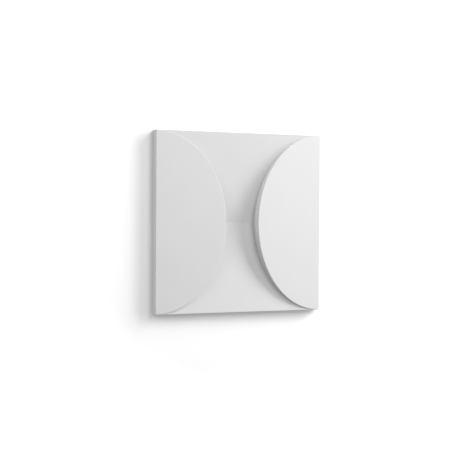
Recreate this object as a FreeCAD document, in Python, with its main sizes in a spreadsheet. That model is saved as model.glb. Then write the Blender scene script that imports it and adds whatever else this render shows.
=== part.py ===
import FreeCAD, Part
import math
import os

import Sketcher

# A square relief tile, moulded in one piece, lying on its flat back, in millimetres.
# X and Y run along the sides, Z points out of the relief, and the origin is the centre of the back.
# Two half-elliptical lobes grow from the left and right sides and climb to their crests.
# The field between them dips from the other two sides to a straight crease.

# Driving sizes: name, value, meaning
SIZES = [
    ("side", "333", "length of each side of the tile"),
    ("edge_height", "16", "height of all four sides above the back"),
    ("lobe_rise", "9", "climb of a lobe's face from the tile's side to its crest"),
    ("valley_height", "4.5", "height of the field's crease above the back"),
    ("channel_width", "66", "gap between the two crests"),
    ("edge_radius", "0.5", "radius of the softened front edges and corners"),
]

# Numbers that a sketch uses for a curve's points and, counting down from -1, for its own axes
START, END, CENTRE = range(1, 4)
H_AXIS, V_AXIS = range(-1, -3, -1)
SKETCH_ORIGIN = (H_AXIS, START)

X_DIRECTION = FreeCAD.Vector(1, 0, 0)
Z_DIRECTION = FreeCAD.Vector(0, 0, 1)
QUARTER_TURN = math.pi / 2

doc = FreeCAD.newDocument("relief_tile")


def make_sheet():
    made = doc.addObject("Spreadsheet::Sheet", "sizes")
    for row, (name, value, meaning) in enumerate(SIZES, start=1):
        made.set(f"A{row}", name)
        made.set(f"B{row}", value)
        made.set(f"C{row}", meaning)
        made.setAlias(f"B{row}", name)
    doc.recompute()
    return made


def size_of(expression):
    """What an expression in the sheet's names is worth."""
    return float(sheet.evalExpression(expression))


def at(across, up):
    """A sketch point from two expressions."""
    return FreeCAD.Vector(size_of(across), size_of(up), 0)


def origin_item(body, role):
    return next(item for item in body.Origin.OriginFeatures if item.Role == role)


def new_sketch(body, name, role):
    """An empty sketch on one of the body's own origin planes."""
    sketch = body.newObject("Sketcher::SketchObject", name)
    sketch.AttachmentSupport = [(origin_item(body, role), "")]
    sketch.MapMode = "FlatFace"
    return sketch


def relate(sketch, kind, *items):
    sketch.addConstraint(Sketcher.Constraint(kind, *items))


def dimension(sketch, name, kind, ends, expression):
    """A driving dimension that follows an expression."""
    number = sketch.addConstraint(Sketcher.Constraint(kind, *ends, size_of(expression)))
    sketch.renameConstraint(number, name)
    sketch.setExpression(f"Constraints.{name}", expression)


def place_x(sketch, name, point, expression):
    dimension(sketch, name + "_x", "DistanceX", (*SKETCH_ORIGIN, *point), expression)


def place_y(sketch, name, point, expression):
    dimension(sketch, name + "_y", "DistanceY", (*SKETCH_ORIGIN, *point), expression)


def chain(sketch, corners):
    """Straight lines from corner to corner, joined at their ends."""
    lines = [
        sketch.addGeometry(Part.LineSegment(first, last), False)
        for first, last in zip(corners, corners[1:])
    ]
    for line, following in zip(lines, lines[1:]):
        relate(sketch, "Coincident", line, END, following, START)
    return lines


def round_edge(sketch, centre, first_angle, last_angle):
    """An anticlockwise arc of the edge radius."""
    circle = Part.Circle(centre, Z_DIRECTION, size_of("sizes.edge_radius"))
    number = sketch.addGeometry(Part.ArcOfCircle(circle, first_angle, last_angle), False)
    dimension(sketch, f"radius_{number}", "Radius", (number,), "sizes.edge_radius")
    return number


def marker(sketch, name, across, up):
    """A construction point at a named place."""
    number = sketch.addGeometry(Part.Point(at(across, up)), True)
    place_x(sketch, name, (number, START), across)
    place_y(sketch, name, (number, START), up)
    return number


def pocket(body, name, profile):
    """A cut that runs right through the body, both ways from its sketch."""
    made = body.newObject("PartDesign::Pocket", name)
    made.Profile = profile
    made.SideType = "Symmetric"
    made.Type = "ThroughAll"
    return made


def sketch_lobe_plan(body):
    """Half an ellipse on the right side of the tile, its ends one edge radius short of the corners."""
    sketch = new_sketch(body, "lobe_plan", "XY_Plane")
    near = at("sizes.side / 2", "sizes.edge_radius - sizes.side / 2")
    far = at("sizes.side / 2", "sizes.side / 2 - sizes.edge_radius")
    ellipse = Part.Ellipse(far, at("sizes.channel_width / 2", "0"), at("sizes.side / 2", "0"))
    curve = sketch.addGeometry(Part.ArcOfEllipse(ellipse, 0, math.pi), False)
    straight = sketch.addGeometry(Part.LineSegment(near, far), False)
    sketch.exposeInternalGeometry(curve)
    long_axis, short_axis = straight + 1, straight + 2
    relate(sketch, "Coincident", curve, START, straight, END)
    relate(sketch, "Coincident", curve, END, straight, START)
    relate(sketch, "Vertical", long_axis)
    relate(sketch, "Symmetric", straight, START, straight, END, H_AXIS)
    place_x(sketch, "side", (straight, END), "sizes.side / 2")
    place_y(sketch, "lobe_end", (straight, END), "sizes.side / 2 - sizes.edge_radius")
    place_x(sketch, "centre", (curve, CENTRE), "sizes.side / 2")
    place_x(sketch, "crest", (short_axis, START), "sizes.channel_width / 2")
    return sketch


def sketch_lobe_roof(body):
    """The room above a lobe's face, which climbs from the side of the tile to the crest."""
    sketch = new_sketch(body, "lobe_roof", "XZ_Plane")
    slope, outer, top = chain(
        sketch,
        [
            at("0", "sizes.edge_height + sizes.lobe_rise"),
            at("sizes.side", "sizes.edge_height - sizes.lobe_rise"),
            at("sizes.side", "sizes.edge_height + 3 * sizes.lobe_rise"),
            at("0", "sizes.edge_height + 3 * sizes.lobe_rise"),
        ],
    )
    inner = sketch.addGeometry(
        Part.LineSegment(
            at("0", "sizes.edge_height + 3 * sizes.lobe_rise"),
            at("0", "sizes.edge_height + sizes.lobe_rise"),
        ),
        False,
    )
    relate(sketch, "Coincident", top, END, inner, START)
    relate(sketch, "Coincident", inner, END, slope, START)
    relate(sketch, "PointOnObject", slope, START, V_AXIS)
    relate(sketch, "Vertical", outer)
    relate(sketch, "Horizontal", top)
    relate(sketch, "Vertical", inner)
    place_x(sketch, "outer", (outer, START), "sizes.side")
    place_y(sketch, "top", (top, START), "sizes.edge_height + 3 * sizes.lobe_rise")
    side_mark = marker(sketch, "side", "sizes.side / 2", "sizes.edge_height")
    crest_mark = marker(
        sketch, "crest", "sizes.channel_width / 2", "sizes.edge_height + sizes.lobe_rise"
    )
    relate(sketch, "PointOnObject", side_mark, START, slope)
    relate(sketch, "PointOnObject", crest_mark, START, slope)
    return sketch


def make_lobe():
    """The right-hand lobe, from the back of the tile to its sloping face."""
    body = doc.addObject("PartDesign::Body", "lobe")
    blank = body.newObject("PartDesign::Pad", "lobe_blank")
    blank.Profile = sketch_lobe_plan(body)
    blank.setExpression("Length", "sizes.edge_height + 2 * sizes.lobe_rise")
    face = pocket(body, "lobe_face", sketch_lobe_roof(body))
    doc.recompute()
    softened = body.newObject("PartDesign::Fillet", "lobe_edges")
    softened.Base = (face, edges_above_back(face.Shape))
    softened.setExpression("Radius", "sizes.edge_radius")
    return body


def edges_above_back(shape):
    """The names of all edges but those that lie in the back."""
    return [
        f"Edge{number}"
        for number, edge in enumerate(shape.Edges, start=1)
        if edge.BoundBox.ZMax > size_of("sizes.edge_radius")
    ]


def sketch_field_section(body):
    """The flat back, two upright sides with rounded shoulders, and two slopes down to the crease."""
    sketch = new_sketch(body, "field_section", "YZ_Plane")
    fall = math.atan2(
        size_of("sizes.edge_height - sizes.valley_height"), size_of("sizes.side / 2")
    )
    back, right_side = chain(
        sketch,
        [
            at("-sizes.side / 2", "0"),
            at("sizes.side / 2", "0"),
            at("sizes.side / 2", "sizes.edge_height - sizes.edge_radius"),
        ],
    )
    right_shoulder = round_edge(
        sketch,
        at("sizes.side / 2 - sizes.edge_radius", "sizes.edge_height - sizes.edge_radius"),
        0,
        QUARTER_TURN + fall,
    )
    right_slope, left_slope = chain(
        sketch,
        [
            at("sizes.side / 2 - sizes.edge_radius", "sizes.edge_height"),
            at("0", "sizes.valley_height"),
            at("sizes.edge_radius - sizes.side / 2", "sizes.edge_height"),
        ],
    )
    left_shoulder = round_edge(
        sketch,
        at("sizes.edge_radius - sizes.side / 2", "sizes.edge_height - sizes.edge_radius"),
        QUARTER_TURN - fall,
        2 * QUARTER_TURN,
    )
    (left_side,) = chain(
        sketch,
        [
            at("-sizes.side / 2", "sizes.edge_height - sizes.edge_radius"),
            at("-sizes.side / 2", "0"),
        ],
    )
    relate(sketch, "Coincident", left_side, END, back, START)
    relate(sketch, "Tangent", right_side, END, right_shoulder, START)
    relate(sketch, "Tangent", right_shoulder, END, right_slope, START)
    relate(sketch, "Tangent", left_slope, END, left_shoulder, START)
    relate(sketch, "Tangent", left_shoulder, END, left_side, START)
    relate(sketch, "Horizontal", back)
    relate(sketch, "Vertical", right_side)
    relate(sketch, "Vertical", left_side)
    relate(sketch, "Symmetric", back, START, back, END, *SKETCH_ORIGIN)
    relate(sketch, "PointOnObject", right_slope, END, V_AXIS)
    dimension(sketch, "width", "Distance", (back,), "sizes.side")
    place_y(sketch, "crease", (right_slope, END), "sizes.valley_height")
    right_mark = marker(sketch, "edge", "sizes.side / 2", "sizes.edge_height")
    left_mark = sketch.addGeometry(Part.Point(at("-sizes.side / 2", "sizes.edge_height")), True)
    relate(sketch, "Symmetric", right_mark, START, left_mark, START, V_AXIS)
    relate(sketch, "PointOnObject", right_mark, START, right_slope)
    relate(sketch, "PointOnObject", left_mark, START, left_slope)
    return sketch


def close_outside(sketch, arc, corners):
    """Upright and level lines round the outside of an arc, from its end back to its start."""
    first, second, third, last = chain(sketch, corners)
    relate(sketch, "Coincident", arc, END, first, START)
    relate(sketch, "Coincident", last, END, arc, START)
    relate(sketch, "Vertical", first)
    relate(sketch, "Horizontal", second)
    relate(sketch, "Vertical", third)
    relate(sketch, "Horizontal", last)
    relate(sketch, "Horizontal", arc, CENTRE, arc, START)
    return second


def sketch_side_shoulder(body):
    """What is cut off above the right side, so that it rounds into the lobe's face."""
    sketch = new_sketch(body, "side_shoulder", "XZ_Plane")
    climb = math.atan2(
        size_of("sizes.lobe_rise"), size_of("sizes.side / 2 - sizes.channel_width / 2")
    )
    arc = round_edge(
        sketch,
        at("sizes.side / 2 - sizes.edge_radius", "sizes.edge_height - sizes.edge_radius"),
        0,
        QUARTER_TURN - climb,
    )
    cap = close_outside(
        sketch,
        arc,
        [
            at("sizes.side / 2 - sizes.edge_radius", "sizes.edge_height"),
            at("sizes.side / 2 - sizes.edge_radius", "sizes.edge_height + sizes.edge_radius"),
            at("sizes.side / 2 + sizes.edge_radius", "sizes.edge_height + sizes.edge_radius"),
            at("sizes.side / 2 + sizes.edge_radius", "sizes.edge_height - sizes.edge_radius"),
            at("sizes.side / 2", "sizes.edge_height - sizes.edge_radius"),
        ],
    )
    face = sketch.addGeometry(
        Part.LineSegment(
            at("sizes.side / 2 - sizes.edge_radius", "sizes.edge_height"),
            at("sizes.channel_width / 2", "sizes.edge_height + sizes.lobe_rise"),
        ),
        True,
    )
    relate(sketch, "Tangent", arc, END, face, START)
    side_mark = marker(sketch, "side", "sizes.side / 2", "sizes.edge_height")
    relate(sketch, "PointOnObject", side_mark, START, face)
    place_x(sketch, "crest", (face, END), "sizes.channel_width / 2")
    place_y(sketch, "crest", (face, END), "sizes.edge_height + sizes.lobe_rise")
    place_x(sketch, "arc_foot", (arc, START), "sizes.side / 2")
    place_x(sketch, "cap", (cap, END), "sizes.side / 2 + sizes.edge_radius")
    place_y(sketch, "cap", (cap, END), "sizes.edge_height + sizes.edge_radius")
    return sketch


def sketch_corner(body):
    """What is cut off outside one upright corner."""
    sketch = new_sketch(body, "corner", "XY_Plane")
    arc = round_edge(
        sketch,
        at("sizes.side / 2 - sizes.edge_radius", "sizes.side / 2 - sizes.edge_radius"),
        0,
        QUARTER_TURN,
    )
    far = close_outside(
        sketch,
        arc,
        [
            at("sizes.side / 2 - sizes.edge_radius", "sizes.side / 2"),
            at("sizes.side / 2 - sizes.edge_radius", "sizes.side / 2 + sizes.edge_radius"),
            at("sizes.side / 2 + sizes.edge_radius", "sizes.side / 2 + sizes.edge_radius"),
            at("sizes.side / 2 + sizes.edge_radius", "sizes.side / 2 - sizes.edge_radius"),
            at("sizes.side / 2", "sizes.side / 2 - sizes.edge_radius"),
        ],
    )
    relate(sketch, "Vertical", arc, CENTRE, arc, END)
    place_x(sketch, "side", (arc, START), "sizes.side / 2")
    place_y(sketch, "side", (arc, END), "sizes.side / 2")
    place_x(sketch, "outside", (far, END), "sizes.side / 2 + sizes.edge_radius")
    place_y(sketch, "outside", (far, END), "sizes.side / 2 + sizes.edge_radius")
    return sketch


def make_field():
    """The plate under the relief, with the two slopes of the field on its front."""
    body = doc.addObject("PartDesign::Body", "field")
    plate = body.newObject("PartDesign::Pad", "field_plate")
    plate.Profile = sketch_field_section(body)
    plate.SideType = "Symmetric"
    plate.setExpression("Length", "sizes.side")
    right_shoulder = pocket(body, "right_shoulder", sketch_side_shoulder(body))
    shoulders = body.newObject("PartDesign::Mirrored", "side_shoulders")
    shoulders.Originals = [right_shoulder]
    shoulders.MirrorPlane = (origin_item(body, "YZ_Plane"), [""])
    body.Tip = shoulders
    one_corner = pocket(body, "one_corner", sketch_corner(body))
    corners = body.newObject("PartDesign::PolarPattern", "corners")
    corners.Originals = [one_corner]
    corners.Axis = (origin_item(body, "Z_Axis"), [""])
    corners.Angle = 360
    corners.Occurrences = 4
    body.Tip = corners
    return body


def join(field, right_lobe):
    """The whole tile: the field and both lobes are one moulding."""
    left_lobe = doc.addObject("Part::Mirroring", "left_lobe")
    left_lobe.Source = right_lobe
    left_lobe.Normal = X_DIRECTION
    tile = doc.addObject("Part::MultiFuse", "tile")
    tile.Shapes = [field, right_lobe, left_lobe]
    tile.Refine = True
    tile.Label = "relief_tile"
    return tile


sheet = make_sheet()
lobe = make_lobe()
field = make_field()
tile = join(field, lobe)
doc.recompute()

for item in doc.Objects:
    broken = [word for word in item.State if word in ("Invalid", "Error")]
    if broken:
        raise RuntimeError(f"{item.Name} failed: {broken}")
if tile.Shape.isNull() or not tile.Shape.isValid():
    raise RuntimeError("the tile has no valid shape")

os.makedirs("parts", exist_ok=True)
tile.Shape.exportStep(f"parts/{tile.Label}.step")
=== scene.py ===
import bpy
import math

from mathutils import Matrix, Vector

# Dresses, lights and frames the relief tile, which lies on its flat back. Sizes are in metres.

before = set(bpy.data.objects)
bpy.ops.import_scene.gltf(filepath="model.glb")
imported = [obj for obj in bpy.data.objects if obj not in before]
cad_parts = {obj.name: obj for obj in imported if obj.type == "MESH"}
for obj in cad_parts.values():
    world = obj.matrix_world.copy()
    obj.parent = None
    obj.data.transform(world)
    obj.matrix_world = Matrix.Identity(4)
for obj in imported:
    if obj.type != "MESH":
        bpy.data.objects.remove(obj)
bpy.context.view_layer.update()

# The camera, fitted to the straight edges and the arcs of the tile in the photograph.
# The photograph is a square of this many pixels, cut from a larger one, so that the
# point the camera looks at lies below its middle.
IMAGE_SIDE = 450
FOCAL_LENGTH_PX = 1092.6
OPTICAL_CENTRE = (225.0, 245.0)
SENSOR_WIDTH_MM = 36.0
CAMERA_PLACE = Vector((-0.8438, 0.0191, 1.8604))
CAMERA_YAW = math.radians(23.784)
CAMERA_PITCH = math.radians(-1.720)
CAMERA_ROLL = math.radians(0.383)

# The floor's own colour, and the colour that shows it white to the camera. Away from the
# tile the panels fade, so the seen colour rises between two distances from its centre.
FLOOR_HALF = 2.2
FLOOR_COLOUR = 0.8
FLOOR_SEEN_COLOURS = (1.21, 1.9)
FLOOR_DISTANCES = (0.28, 0.62)

# Studio light, fitted to the photograph's shading, which shows little bounced light. Each
# panel: name, azimuth from +X towards +Y and elevation in degrees, distance, width, height,
# watts and the times that its light may bounce
PANELS = [
    ("key", 34, 21, 4.0, 2.20, 1.40, 110.4, 0),
    ("side", 4, 19, 4.0, 1.55, 1.16, 48.6, 0),
    ("near", 60, 58, 1.3, 0.50, 1.00, 5.3, 12),
    ("left", 150, 30, 4.0, 1.80, 1.60, 18.8, 0),
    ("grazing", 125, 3, 4.0, 1.10, 0.40, 41.6, 0),
]

# The world's strength as light, and as the white that the camera sees
WORLD_STRENGTH = 0.293
WORLD_SEEN_STRENGTH = 1.0

# The finish: a matt white moulded face. Each noise has the size of its features and its
# detail; the mottle and the sheen count within the middle of their range.
NOISE_MIDDLE = (0.3, 0.7)
MOTTLE_SIZE, MOTTLE_DETAIL = 0.05, 4.0
WHITE = 0.80
MOTTLE_SPAN = 0.012
SHEEN_SIZE, SHEEN_DETAIL = 0.012, 3.0
ROUGHNESS = (0.58, 0.68)
SPECULAR = 0.3
WAVE_SIZE, WAVE_DETAIL = 0.035, 2.0
WAVE_DEPTH = 0.00004
GRAIN_SIZE, GRAIN_DETAIL = 0.0004, 3.0
GRAIN_DEPTH = 0.00001


def make_camera():
    """Looks down on the lying tile as the photograph looks at it on its wall."""
    forward = Vector(
        (
            math.sin(CAMERA_YAW) * math.cos(CAMERA_PITCH),
            math.sin(CAMERA_PITCH),
            -math.cos(CAMERA_YAW) * math.cos(CAMERA_PITCH),
        )
    )
    level = Vector((math.cos(CAMERA_YAW), 0, math.sin(CAMERA_YAW)))
    upright = level.cross(forward)
    c, s = math.cos(CAMERA_ROLL), math.sin(CAMERA_ROLL)
    right, up = c * level + s * upright, c * upright - s * level
    data = bpy.data.cameras.new("camera")
    data.sensor_width = SENSOR_WIDTH_MM
    data.lens = FOCAL_LENGTH_PX / IMAGE_SIDE * SENSOR_WIDTH_MM
    # The shift is the way from the optical centre to the picture's middle.
    data.shift_x = 0.5 - OPTICAL_CENTRE[0] / IMAGE_SIDE
    data.shift_y = OPTICAL_CENTRE[1] / IMAGE_SIDE - 0.5
    camera = bpy.data.objects.new("camera", data)
    turn = Matrix((right, up, -forward)).transposed()
    camera.matrix_world = Matrix.Translation(CAMERA_PLACE) @ turn.to_4x4()
    bpy.context.scene.collection.objects.link(camera)
    bpy.context.scene.camera = camera


def grey(value):
    """An opaque neutral colour."""
    return (value, value, value, 1.0)


def empty_material(name):
    """A material with no nodes yet, and its nodes and links."""
    material = bpy.data.materials.new(name)
    material.use_nodes = True
    nodes, links = material.node_tree.nodes, material.node_tree.links
    nodes.clear()
    return material, nodes, links


def mapped(nodes, links, source, source_span, target_span):
    """A value whose span is moved to another one, clamped at both ends."""
    made = nodes.new("ShaderNodeMapRange")
    made.inputs["From Min"].default_value, made.inputs["From Max"].default_value = source_span
    made.inputs["To Min"].default_value, made.inputs["To Max"].default_value = target_span
    links.new(source, made.inputs["Value"])
    return made.outputs["Result"]


def seen_directly(nodes, links):
    """One for camera, glossy and transmission rays, nothing for the others."""
    path = nodes.new("ShaderNodeLightPath")
    total = path.outputs["Is Camera Ray"]
    for name in ("Is Glossy Ray", "Is Transmission Ray"):
        add = nodes.new("ShaderNodeMath")
        add.operation = "ADD"
        add.use_clamp = True
        links.new(total, add.inputs[0])
        links.new(path.outputs[name], add.inputs[1])
        total = add.outputs["Value"]
    return total


def floor_material():
    """Plain pale to light, and white with the tile's shadow to the camera and reflections."""
    material, nodes, links = empty_material("floor")
    out = nodes.new("ShaderNodeOutputMaterial")
    mix = nodes.new("ShaderNodeMixShader")
    plain = nodes.new("ShaderNodeBsdfDiffuse")
    seen = nodes.new("ShaderNodeBsdfDiffuse")
    place = nodes.new("ShaderNodeTexCoord")
    away = nodes.new("ShaderNodeVectorMath")
    away.operation = "LENGTH"
    links.new(place.outputs["Object"], away.inputs[0])
    rise = mapped(nodes, links, away.outputs["Value"], FLOOR_DISTANCES, FLOOR_SEEN_COLOURS)
    links.new(rise, seen.inputs["Color"])
    plain.inputs["Color"].default_value = grey(FLOOR_COLOUR)
    links.new(seen_directly(nodes, links), mix.inputs["Fac"])
    links.new(plain.outputs["BSDF"], mix.inputs[1])
    links.new(seen.outputs["BSDF"], mix.inputs[2])
    links.new(mix.outputs["Shader"], out.inputs["Surface"])
    return material


def make_floor():
    """A level square that the tile lies on."""
    mesh = bpy.data.meshes.new("floor")
    signs = ((-1, -1), (1, -1), (1, 1), (-1, 1))
    corners = [(x * FLOOR_HALF, y * FLOOR_HALF, 0) for x, y in signs]
    mesh.from_pydata(corners, [], [(0, 1, 2, 3)])
    floor = bpy.data.objects.new("floor", mesh)
    mesh.materials.append(floor_material())
    bpy.context.scene.collection.objects.link(floor)


def make_panel(name, azimuth, elevation, distance, width, height, watts, bounces):
    """A soft rectangular lamp that faces the tile."""
    across, climb = math.radians(azimuth), math.radians(elevation)
    way = Vector(
        (math.cos(across) * math.cos(climb), math.sin(across) * math.cos(climb), math.sin(climb))
    )
    data = bpy.data.lights.new(name, "AREA")
    data.shape = "RECTANGLE"
    data.size = width
    data.size_y = height
    data.energy = watts
    data.cycles.max_bounces = bounces
    lamp = bpy.data.objects.new(name, data)
    lamp.location = way * distance
    lamp.rotation_euler = way.to_track_quat("Z", "Y").to_euler()
    lamp.visible_camera = False
    bpy.context.scene.collection.objects.link(lamp)


def make_world():
    """Soft light from all round, which the camera sees as plain white."""
    world = bpy.data.worlds.new("studio")
    world.use_nodes = True
    nodes, links = world.node_tree.nodes, world.node_tree.links
    nodes.clear()
    out = nodes.new("ShaderNodeOutputWorld")
    mix = nodes.new("ShaderNodeMixShader")
    path = nodes.new("ShaderNodeLightPath")
    links.new(path.outputs["Is Camera Ray"], mix.inputs["Fac"])
    for socket, strength in ((1, WORLD_STRENGTH), (2, WORLD_SEEN_STRENGTH)):
        light = nodes.new("ShaderNodeBackground")
        light.inputs["Color"].default_value = grey(1.0)
        light.inputs["Strength"].default_value = strength
        links.new(light.outputs["Background"], mix.inputs[socket])
    links.new(mix.outputs["Shader"], out.inputs["Surface"])
    bpy.context.scene.world = world


def light_studio():
    """The panels and the world."""
    for panel in PANELS:
        make_panel(*panel)
    make_world()


def noise(nodes, links, place, size, detail):
    """Noise of about this size, laid through the tile in its own coordinates."""
    made = nodes.new("ShaderNodeTexNoise")
    made.inputs["Scale"].default_value = 1 / size
    made.inputs["Detail"].default_value = detail
    links.new(place.outputs["Object"], made.inputs["Vector"])
    return made.outputs["Fac"]


def bump(nodes, links, height, depth, before=None):
    """A normal tilted by a height, on top of another bump where there is one before it."""
    made = nodes.new("ShaderNodeBump")
    made.inputs["Strength"].default_value = 1.0
    made.inputs["Distance"].default_value = depth
    links.new(height, made.inputs["Height"])
    if before is not None:
        links.new(before, made.inputs["Normal"])
    return made.outputs["Normal"]


def moulded_white():
    """Matt white, faintly mottled, with a fine grain and the slight waves of a moulded face."""
    material, nodes, links = empty_material("moulded_white")
    out = nodes.new("ShaderNodeOutputMaterial")
    shader = nodes.new("ShaderNodeBsdfPrincipled")
    place = nodes.new("ShaderNodeTexCoord")
    mottle = noise(nodes, links, place, MOTTLE_SIZE, MOTTLE_DETAIL)
    whites = (WHITE - MOTTLE_SPAN / 2, WHITE + MOTTLE_SPAN / 2)
    tone = mapped(nodes, links, mottle, NOISE_MIDDLE, whites)
    colour = nodes.new("ShaderNodeCombineColor")
    for channel in ("Red", "Green", "Blue"):
        links.new(tone, colour.inputs[channel])
    links.new(colour.outputs["Color"], shader.inputs["Base Color"])
    sheen = noise(nodes, links, place, SHEEN_SIZE, SHEEN_DETAIL)
    links.new(mapped(nodes, links, sheen, NOISE_MIDDLE, ROUGHNESS), shader.inputs["Roughness"])
    waves = noise(nodes, links, place, WAVE_SIZE, WAVE_DETAIL)
    grains = noise(nodes, links, place, GRAIN_SIZE, GRAIN_DETAIL)
    wavy = bump(nodes, links, waves, WAVE_DEPTH)
    links.new(bump(nodes, links, grains, GRAIN_DEPTH, wavy), shader.inputs["Normal"])
    shader.inputs["Specular IOR Level"].default_value = SPECULAR
    links.new(shader.outputs["BSDF"], out.inputs["Surface"])
    return material


make_camera()
make_floor()
light_studio()
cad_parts["relief_tile"].material_slots[0].material = moulded_white()
bpy.context.scene.view_settings.view_transform = "Standard"
